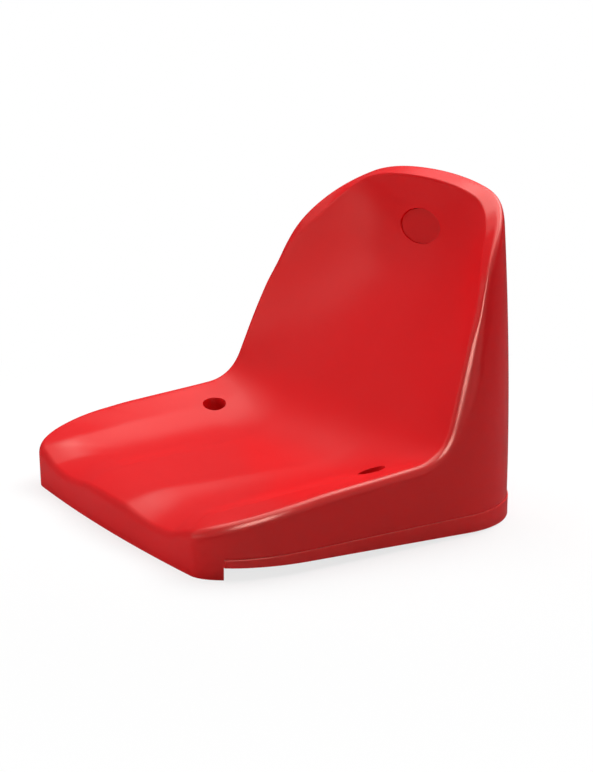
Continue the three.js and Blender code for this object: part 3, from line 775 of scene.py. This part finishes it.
def arch_passage():
    """The arch of the rim seen from the front, drawn in by a margin and run through the whole depth."""
    high = rim.height > bend_rim_height
    share = rise(rim.height, wing_straight_height, back_height)[high]
    x = rim.corner[high, 0] - arch_core_margin * (1 - share)
    z = rim.corner[high, 2] - arch_core_margin * share
    right = np.vstack([[(past_side, -overrun), (past_side, bend_rim_height)], np.stack([x, z], 1)])
    shape = np.vstack([right, (right[right[:, 0] > 0] * [-1, 1])[::-1]])
    points = [(x, y, z) for y in (-past_end, past_end) for x, z in shape]
    return mesh_object("arch_passage", points, prism_faces(len(shape)))


def screw_places():
    reach = wall + post_radius + post_wall_gap
    places = []
    for side in (-1, 1):
        places.append((side * (half_width - reach), side_start + screw_corner_clearance))
        places.append((side * (half_width - reach), side_end - screw_corner_clearance))
        places.append((side * screw_rear_offset, half_depth - reach))
        places.append((side * front_straight / 2, notch_y + reach))
    return places


fixing_places = [(x, fixing_place) for x in fixing_xs]


def fixing_sleeves():
    radius = fixing_hole_diameter / 2 + sleeve_wall
    return bars("sleeves", fixing_places, radius, sleeve_foot_height, back_height)


def shell_posts():
    return bars("posts", screw_places(), post_radius, post_seat, back_height)


def shell_ribs():
    bottom = parting_height + rib_clearance
    half_rib = rib_thickness / 2
    count_x = int(half_width // rib_spacing)
    count_y = int(half_depth // rib_spacing)
    for x in np.arange(-count_x, count_x + 1) * rib_spacing:
        yield box("rib", (x - half_rib, -past_end, bottom), (x + half_rib, past_end, back_height))
    for y in np.arange(-count_y, ribs_behind_middle + 1) * rib_spacing:
        yield box("rib", (-past_side, y - half_rib, bottom), (past_side, y + half_rib, back_height))


# Place of the number plate on the middle line of the backrest
plate_middle_height = back_height - plate_below_top
plate_index = int(np.abs(middle_points[:, 1] - plate_middle_height).argmin())
plate_point, plate_up = middle_at(plate_index * line_step)


def on_backrest(x, y, height):
    """A point at a place on the plate's plane and a height over the backrest."""
    over = np.array([-plate_up[1], plate_up[0]])
    flat = plate_point - over * y + plate_up * height
    return x, flat[0], flat[1]


def backrest_rows(name, rows, places=((0, 0),)):
    """Oval or round bodies standing on the backrest, from rows of two half widths and a height."""
    angles = np.linspace(0, 2 * math.pi, round_sides, endpoint=False)
    made = None
    for x, y in places:
        loops = [[on_backrest(x + wide * math.cos(a), y + high * math.sin(a), height) for a in angles]
                 for wide, high, height in rows]
        start = on_backrest(x, y, rows[0][2])
        end = on_backrest(x, y, rows[-1][2])
        body = closed_rows(name, start, loops, end)
        made = body if made is None else add(made, body)
    return made


def plate_oval(name, grow, bottom, top):
    wide, high = plate_width / 2 + grow, plate_height / 2 + grow
    return backrest_rows(name, [(wide, high, bottom), (wide, high, top)])


def plate_pegs(name, radius, bottom, top):
    places = ((-peg_spacing / 2, 0), (peg_spacing / 2, 0))
    return backrest_rows(name, [(radius, radius, bottom), (radius, radius, top)], places)


def shell_hollow():
    heights = (-overrun, parting_height, back_height / 2, back_height, back_height + overrun)
    hollow = outline_body("hollow", hollow_rim, [(wall, height) for height in heights])
    cut(hollow, space_above())
    keep(hollow, arch_passage())
    below_ribs = hollow.copy()
    below_ribs.data = hollow.data.copy()
    below_ribs.data.transform(Matrix.Translation((0, rib_depth * MM, -rib_depth * MM)))
    for rib in shell_ribs():
        cut(hollow, cut_copy(rib, below_ribs))
    bpy.data.objects.remove(below_ribs)
    cut(hollow, fixing_sleeves())
    cut(hollow, shell_posts())
    return cut(hollow, plate_oval("pad", plate_pad_margin, -overrun, overrun))


def fixing_holes():
    """Stepped holes, narrow for the bushes and broad from the floors that their collars sit on."""
    floor_top = sleeve_foot_height + sleeve_floor
    narrow = bush_outer / 2 + gap
    broad = fixing_hole_diameter / 2
    return turned("holes", [
        (0, -overrun), (narrow, -overrun), (narrow, floor_top), (broad, floor_top), (broad, back_height),
        (0, back_height),
    ], fixing_places)


def screw_holes(top):
    return bars("screw_holes", screw_places(), screw_diameter / 2 + gap, -overrun, top)


def seat_shell():
    shell = cut(outer_body(), shell_hollow())
    cut(shell, box("under", (-past_side, notch_y, -overrun), (past_side, past_end, parting_height)))
    for feet in (fixing_sleeves(), shell_posts()):
        room = box("room", (-half_width, notch_y, 0), (half_width, half_depth, parting_height + gap))
        add(shell, keep(feet, room))
    cut(shell, fixing_holes())
    cut(shell, screw_holes(post_seat + post_depth))
    cut(shell, plate_oval("recess", gap, -plate_recess_depth, overrun))
    peg_hole_bottom = -plate_recess_depth - peg_length - gap
    return cut(shell, plate_pegs("peg_holes", peg_diameter / 2 + gap, peg_hole_bottom, 0))


# The base frame
def base_wedge():
    """The room under the base frame, from the lifted front to the flat rear."""
    flat_start = half_depth - base_flat_length
    outline = [(-past_end, -overrun), (flat_start, -overrun), (flat_start, 0), (notch_y, base_front_lift),
               (-past_end, base_front_lift)]
    points = [(x, y, z) for x in (-past_side, past_side) for y, z in outline]
    return mesh_object("wedge", points, prism_faces(len(outline)))


def base_ring():
    """The ring under the walls with its ledge, and the upstand that locates it inside the shell."""
    rows = [(-base_ledge_width, 0)] + quarter_round(-base_ledge_width, base_top, base_edge_break, 1)
    ring = outline_body("base_frame_moulding", rim, rows)
    cut(ring, wall_room("inside", base_inset, -overrun, base_top + overrun))
    lip = wall + locating_gap
    upstand = wall_room("upstand", lip, base_top - base_wall, base_top + upstand_height)
    cut(upstand, wall_room("lip_inside", lip + upstand_wall, -overrun, base_top + overrun))
    return add(ring, upstand)


def base_lattice():
    """Front rail, cross bar, long bars and screw tabs, as far as the wall of the ring."""
    half_bar = bar_thickness / 2
    rail_back = base_front + bar_thickness
    cross_front, cross_back = fixing_place - half_bar, fixing_place + half_bar
    lattice = box("front_rail", (-past_side, base_front, 0), (past_side, rail_back, base_top))
    add(lattice, box("cross_bar", (-past_side, cross_front, 0), (past_side, cross_back, bar_top)))
    for x in fixing_xs:
        add(lattice, box("long_bar", (x - half_bar, base_front, 0), (x + half_bar, past_end, bar_top)))
    add(lattice, bars("tabs", screw_places(), tab_radius, bar_top - tab_thickness, bar_top))
    return keep(lattice, wall_room("room", base_inset - gap, -overrun, base_top + overrun))


def base_frame():
    frame_body = add(base_ring(), base_lattice())
    notch_end = (-past_side, base_front, -overrun)
    keep(frame_body, box("behind_notch", notch_end, (past_side, past_end, back_height)))
    cut(frame_body, base_wedge())
    add(frame_body, bars("feet", fixing_places, foot_diameter / 2, 0, sleeve_foot_height - gap))
    cut(frame_body, bars("bush_holes", fixing_places, bush_outer / 2 + gap, -overrun, back_height))
    cut(frame_body, bars("post_room", screw_places(), post_radius + gap, bar_top, back_height))
    return cut(frame_body, screw_holes(back_height))


# Turned steel pieces
def fixing_bush(name, place):
    bore = bush_bore / 2
    outer = bush_outer / 2
    collar = bush_collar_diameter / 2
    low = sleeve_foot_height + sleeve_floor + gap
    high = low + bush_collar_thickness
    edge = bush_edge_break
    body = turned(name, [
        (0, bush_recess), (outer - edge, bush_recess), (outer, bush_recess + edge), (outer, low),
        (collar - edge, low), (collar, low + edge), (collar, high - edge), (collar - edge, high), (0, high),
    ], [place])
    flare = [(0, bush_recess - edge), (bore + 2 * edge, bush_recess - edge), (bore, bush_recess + edge),
             (bore, high - edge), (bore + 2 * edge, high + edge), (0, high + edge)]
    return cut(body, turned("bore", flare, [place]))


def base_screw(name, place):
    x, y = place
    seat = post_seat - 2 * gap - tab_thickness
    low = seat - screw_head_height
    head = screw_head_diameter / 2
    shank = screw_diameter / 2
    dome = screw_head_height / 2
    outline = [(0, low), (head - dome, low)]
    for step in range(1, edge_steps + 1):
        angle = quarter * step / edge_steps
        outline.append((head - dome * (1 - math.sin(angle)), low + dome * (1 - math.cos(angle))))
    outline += [(head, seat), (shank, seat), (shank, seat + screw_length - shank), (0, seat + screw_length)]
    body = turned(name, outline, [place])
    half_slot = screw_slot_width / 2
    half_length = head / 2
    for wide, deep in ((half_length, half_slot), (half_slot, half_length)):
        slot_start = (x - wide, y - deep, low - screw_head_height)
        slot_end = (x + wide, y + deep, low + screw_slot_depth)
        cut(body, box("slot", slot_start, slot_end))
    return body


# The number plate
def number_plate():
    bottom = gap - plate_recess_depth
    top = bottom + plate_thickness
    wide, high = plate_width / 2, plate_height / 2
    rows = [(wide, high, bottom)]
    for inset, height in quarter_round(0, top, plate_edge_break, 1):
        rows.append((wide - inset, high - inset, height))
    plate = backrest_rows("number_plate_blank", rows)
    return add(plate, plate_pegs("pegs", peg_diameter / 2, bottom - peg_length, bottom + plate_edge_break))


# Materials, with noise scales to the metre and bump depths in metres
cloud_noise = {"Scale": 7.0, "Detail": 1.0}
cloud_spread = (0.25, 0.75)
gloss_noise = {"Scale": 26.0, "Detail": 2.0}
gloss_spread = (0.2, 0.8)
peel_noise = {"Scale": 160.0, "Detail": 1.0}
peel_bump = {"Distance": 0.00006, "Strength": 0.2}
scuff_noise = {"Scale": 1400.0, "Detail": 2.0}
scuff_bump = {"Distance": 0.00001, "Strength": 0.15}
plastic_shine = {"IOR": 1.3, "Specular_IOR_Level": 1.0, "Specular_Tint": (1.0, 0.78, 0.66, 1.0)}

mottle_noise = {"Scale": 700.0, "Detail": 4.0}
mottle_spread = (0.3, 0.7)
grain_noise = {"Scale": 2600.0, "Detail": 3.0}
grain_bump = {"Distance": 0.00003, "Strength": 0.4}
zinc_light = (0.62, 0.64, 0.66)
zinc_dark = (0.44, 0.45, 0.46)
zinc_roughness = (0.26, 0.46)

# Where a colour mix node keeps its colours
mix_colours = (6, 7)
mix_result = 2


class Graph:
    """The node tree of a material or world, with short calls to add and link nodes."""

    def __init__(self, owner):
        owner.use_nodes = True
        self.tree = owner.node_tree
        self.tree.nodes.clear()

    def feed(self, socket, value):
        """Links a node's output to a socket, or sets the socket's value."""
        if isinstance(value, bpy.types.NodeSocket):
            self.tree.links.new(value, socket)
        else:
            socket.default_value = value

    def node(self, kind, **inputs):
        made = self.tree.nodes.new(kind)
        for name, value in inputs.items():
            self.feed(made.inputs[name.replace("_", " ")], value)
        return made

    def place(self):
        return self.node("ShaderNodeTexCoord").outputs["Object"]

    def noise(self, look):
        return self.node("ShaderNodeTexNoise", Vector=self.place(), **look).outputs["Fac"]

    def mapped(self, value, spread, onto=(0, 1), smooth=False):
        """A value's spread stretched onto another one, and held at its ends."""
        (low, high), (start, end) = spread, onto
        ends = {"From_Min": low, "From_Max": high, "To_Min": start, "To_Max": end}
        made = self.node("ShaderNodeMapRange", Value=value, **ends)
        made.interpolation_type = "SMOOTHSTEP" if smooth else "LINEAR"
        return made.outputs["Result"]

    def maths(self, operation, first, second):
        made = self.node("ShaderNodeMath")
        made.operation = operation
        self.feed(made.inputs[0], first)
        self.feed(made.inputs[1], second)
        return made.outputs["Value"]

    def bump(self, height, look, **onto):
        return self.node("ShaderNodeBump", Height=height, **look, **onto).outputs["Normal"]

    def blend_colour(self, share, first, second):
        made = self.node("ShaderNodeMix")
        made.data_type = "RGBA"
        self.feed(made.inputs["Factor"], share)
        for index, colour in zip(mix_colours, (first, second)):
            self.feed(made.inputs[index], (*colour, 1))
        return made.outputs[mix_result]

    def blend_shaders(self, share, first, second):
        made = self.node("ShaderNodeMixShader")
        for socket, value in zip(made.inputs, (share, first, second)):
            self.feed(socket, value)
        return made.outputs["Shader"]

    def principled(self, **inputs):
        self.finish(self.node("ShaderNodeBsdfPrincipled", **inputs).outputs["BSDF"])

    def finish(self, shader, output="ShaderNodeOutputMaterial"):
        self.node(output, Surface=shader)

    def seen_directly(self):
        """One where a camera, mirror or glass ray meets the surface, and nought for what it sends on."""
        path = self.node("ShaderNodeLightPath").outputs
        mirrored = self.maths("MAXIMUM", path["Is Camera Ray"], path["Is Glossy Ray"])
        return self.maths("MAXIMUM", mirrored, path["Is Transmission Ray"])


def plastic(name, light, dark, roughness):
    """Moulded plastic with faint flow clouding, orange peel, fine scuffs and uneven gloss."""
    material = bpy.data.materials.new(name)
    graph = Graph(material)
    clouds = graph.mapped(graph.noise(cloud_noise), cloud_spread)
    peel = graph.bump(graph.noise(peel_noise), peel_bump)
    graph.principled(
        Base_Color=graph.blend_colour(clouds, light, dark),
        Roughness=graph.mapped(graph.noise(gloss_noise), gloss_spread, roughness),
        Normal=graph.bump(graph.noise(scuff_noise), scuff_bump, Normal=peel),
        **plastic_shine,
    )
    return material


def zinc_steel():
    """Zinc coated steel with mottled colour and gloss and a fine grain."""
    material = bpy.data.materials.new("zinc_steel")
    graph = Graph(material)
    mottle = graph.mapped(graph.noise(mottle_noise), mottle_spread)
    graph.principled(
        Base_Color=graph.blend_colour(mottle, zinc_light, zinc_dark),
        Roughness=graph.mapped(mottle, (0, 1), zinc_roughness),
        Normal=graph.bump(graph.noise(grain_noise), grain_bump),
        Metallic=1.0,
    )
    return material


# The reds of the three mouldings, light and dark, and the range of their roughness
reds = {
    "shell_plastic": ((0.80, 0.010, 0.014), (0.76, 0.009, 0.012), (0.235, 0.27)),
    # The base frame's red is the shell's red painted lighter: painted light, standing in for light bounced
    # up from the floor on to the base band
    "base_plastic": ((0.86, 0.011, 0.015), (0.80, 0.010, 0.013), (0.28, 0.34)),
    "plate_plastic": ((0.68, 0.009, 0.012), (0.62, 0.008, 0.010), (0.28, 0.34)),
}
materials = {name: plastic(name, *look) for name, look in reds.items()}
materials["zinc_steel"] = zinc_steel()
sharp_angle = math.radians(32)


def finish_piece(piece, slot, *nodes):
    """Gives a piece the material and shading of its slot, hangs it under the root body and hides the
    imported parts that it stands for.
    """
    mesh = piece.data
    mesh.materials.clear()
    mesh.materials.append(materials[slot])
    mesh.shade_smooth()
    mesh.set_sharp_from_angle(angle=sharp_angle)
    piece.modifiers.new("normals", "WEIGHTED_NORMAL").keep_sharp = True
    apply_modifiers(piece)
    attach(piece, "root")
    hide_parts(*nodes)


finish_piece(seat_shell(), "shell_plastic", "seat_shell")
finish_piece(base_frame(), "base_plastic", "base_frame")
finish_piece(number_plate(), "plate_plastic", "number_plate")
for word, place in zip(("left", "right"), fixing_places):
    finish_piece(fixing_bush(f"bush_{word}", place), "zinc_steel", f"fixing_bush_{word}")
for number, place in enumerate(screw_places(), 1):
    finish_piece(base_screw(f"screw_{number}", place), "zinc_steel", f"base_screw_{number}")


# Floor and background, white where they are seen directly. Lengths in metres
floor_reach = 3.0
shadow_reach = 0.75
shadow_share = 0.3
floor_white = 0.9
floor_bounce = 0.8
ambient = 0.05
white = (1, 1, 1)


def sheet(name, corners, material):
    """A flat sheet that belongs to the studio and not to the object."""
    mesh = bpy.data.meshes.new(name)
    mesh.from_pydata(corners, [], [(0, 1, 2, 3)])
    mesh.materials.append(material)
    piece = bpy.data.objects.new(name, mesh)
    bpy.context.scene.collection.objects.link(piece)
    return piece


def level(reach, height):
    """Corners of a level square sheet round the middle."""
    corners = ((-1, -1), (1, -1), (1, 1), (-1, 1))
    return [(x * reach, y * reach, height) for x, y in corners]


def upright(start, end, top):
    """Corners of an upright sheet over a line on the floor."""
    return [(*start, 0), (*end, 0), (*end, top), (*start, top)]


def floor_paint():
    """White that is matt near the object, for its shadow, and shines evenly further out."""
    material = bpy.data.materials.new("floor")
    graph = Graph(material)
    seen = graph.seen_directly()
    shade = graph.blend_colour(seen, [floor_bounce] * 3, [floor_white] * 3)
    matt = graph.node("ShaderNodeBsdfDiffuse", Color=shade)
    shining = graph.node("ShaderNodeEmission")
    away = graph.node("ShaderNodeVectorMath", Vector=graph.place())
    away.operation = "LENGTH"
    fade = graph.mapped(away.outputs["Value"], (0, shadow_reach), (1 - shadow_share, 1), smooth=True)
    share = graph.maths("MULTIPLY", seen, fade)
    graph.finish(graph.blend_shaders(share, matt.outputs["BSDF"], shining.outputs["Emission"]))
    return material


def world():
    """Soft light from all round, and white where it is seen directly."""
    made = bpy.data.worlds.new("studio")
    graph = Graph(made)
    light = graph.node("ShaderNodeBackground", Color=(*white, 1), Strength=ambient)
    plain = graph.node("ShaderNodeBackground", Color=(*white, 1))
    backgrounds = light.outputs["Background"], plain.outputs["Background"]
    graph.finish(graph.blend_shaders(graph.seen_directly(), *backgrounds), "ShaderNodeOutputWorld")
    bpy.context.scene.world = made


# Grey cards, in metres
flag_grey = 0.06
flag_roughness = 0.9
flags = {
    "left_flag": upright((-1.3, -1.7), (-1.3, 2.0), 1.15),
    "low_flag": level(2.0, 0.001),
    "rear_flag": upright((-2.0, 1.9), (2.0, 1.9), 0.8),
}


def flag(name, corners):
    """A grey card that only gloss shows, which keeps the white room out of the red plastic."""
    material = bpy.data.materials.new(name)
    Graph(material).principled(Base_Color=(flag_grey, flag_grey, flag_grey, 1), Roughness=flag_roughness)
    piece = sheet(name, corners, material)
    piece.visible_camera = False
    piece.visible_diffuse = False
    piece.visible_shadow = False


# Lamps with place, target and size in metres and power in watts
pan_target = (0, 0, 0.05)
middle_target = (0, 0, 0.1)
high_target = (0, 0, 0.15)
wing_target = (0.19, 0.1, 0.19)
lamps = {
    "overhead": ((-0.5, 0.45, 1.95), pan_target, (2.2, 2.2), 49),
    "top_shine": ((-0.1, 0.1, 2.0), pan_target, (2.2, 2.2), 40),
    "rear": ((0, 1.2, 1.7), pan_target, (1.5, 1.0), 18),
    "front_left": ((-1.7, -1.3, 0.9), high_target, (1.0, 1.0), 6),
    "front_low": ((-0.3, -2.2, 0.35), middle_target, (1.2, 0.5), 10),
    "wing_edge": ((1.5, -0.4, 1.07), wing_target, (1.0, 1.0), 38),
}
kept_from_gloss = ("overhead", "front_left", "front_low")
kept_from_shade = ("top_shine", "wing_edge")


def softbox(name, place, target, size, watts):
    """An oblong lamp turned to a target, which can be kept from gloss or from plain shading."""
    lamp = bpy.data.lights.new(name, "AREA")
    lamp.shape = "RECTANGLE"
    lamp.size, lamp.size_y = size
    lamp.energy = watts
    piece = bpy.data.objects.new(name, lamp)
    piece.location = place
    piece.rotation_euler = (Vector(target) - Vector(place)).to_track_quat("-Z", "Y").to_euler()
    piece.visible_glossy = name not in kept_from_gloss
    piece.visible_diffuse = name not in kept_from_shade
    bpy.context.scene.collection.objects.link(piece)


# Camera at the photograph's viewing angle, with lengths in millimetres
camera_turn = 57.43
camera_rise = 13.98
camera_distance = 1850
camera_aim_right = 24.92
camera_aim_up = 119.67
camera_clip = 50
focal_pixels = 1709.4
image_width = 593


def camera():
    turn, lift = math.radians(camera_turn), math.radians(camera_rise)
    back = Vector((math.sin(turn) * math.cos(lift), -math.cos(turn) * math.cos(lift), math.sin(lift)))
    right = Vector((math.cos(turn), math.sin(turn), 0))
    up = back.cross(right)
    place = back * camera_distance + right * camera_aim_right + up * camera_aim_up
    place += Vector((0, seat_shift, 0))
    lens = bpy.data.cameras.new("camera")
    lens.sensor_fit = "HORIZONTAL"
    lens.lens = focal_pixels * lens.sensor_width / image_width
    lens.clip_start = camera_clip * MM
    piece = bpy.data.objects.new("camera", lens)
    turned_to = Matrix((right, up, back)).transposed().to_4x4()
    piece.matrix_world = Matrix.Translation(place * MM) @ turned_to
    bpy.context.scene.collection.objects.link(piece)
    bpy.context.scene.camera = piece


sheet("floor", level(floor_reach, 0), floor_paint())
world()
for name, corners in flags.items():
    flag(name, corners)
for name, values in lamps.items():
    softbox(name, *values)
camera()

scene = bpy.context.scene
scene.view_settings.view_transform = "Standard"
